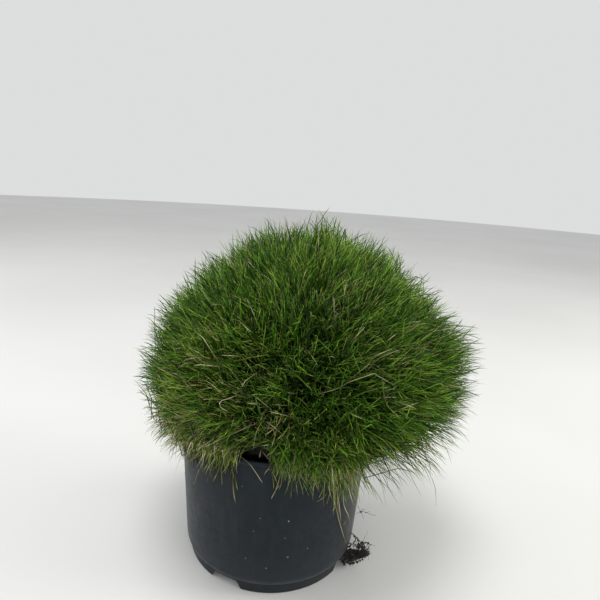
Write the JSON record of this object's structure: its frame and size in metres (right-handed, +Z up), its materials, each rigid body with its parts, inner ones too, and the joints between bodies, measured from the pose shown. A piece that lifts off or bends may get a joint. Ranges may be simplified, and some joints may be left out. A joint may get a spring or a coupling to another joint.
{
  "type": "potted bearskin fescue",
  "caption": "Low rounded evergreen grass clump of fine needle leaves, spilling over the rim of a black plastic nursery pot with a notched foot ring.",
  "frame": {"origin": "middle of the grass cushion seen from above, at the level of the surface that the pot's foot stands on; the pot's axis is 25 mm from it towards -X", "axes": "+Z up along the pot's axis, +X towards the side where the cushion hangs further past the pot, -Y towards the viewer of the picture"},
  "size_m": [0.3197, 0.3203, 0.3406],
  "materials": {
    "black_plastic": "satin",
    "potting_mix": "matte",
    "grass": "satin",
    "roots": "matte"
  },
  "bodies": {
    "root": {"pot": "black_plastic", "potting_mix": "potting_mix", "fescue": "grass", "drain_roots": "roots"}
  },
  "joints": []
}
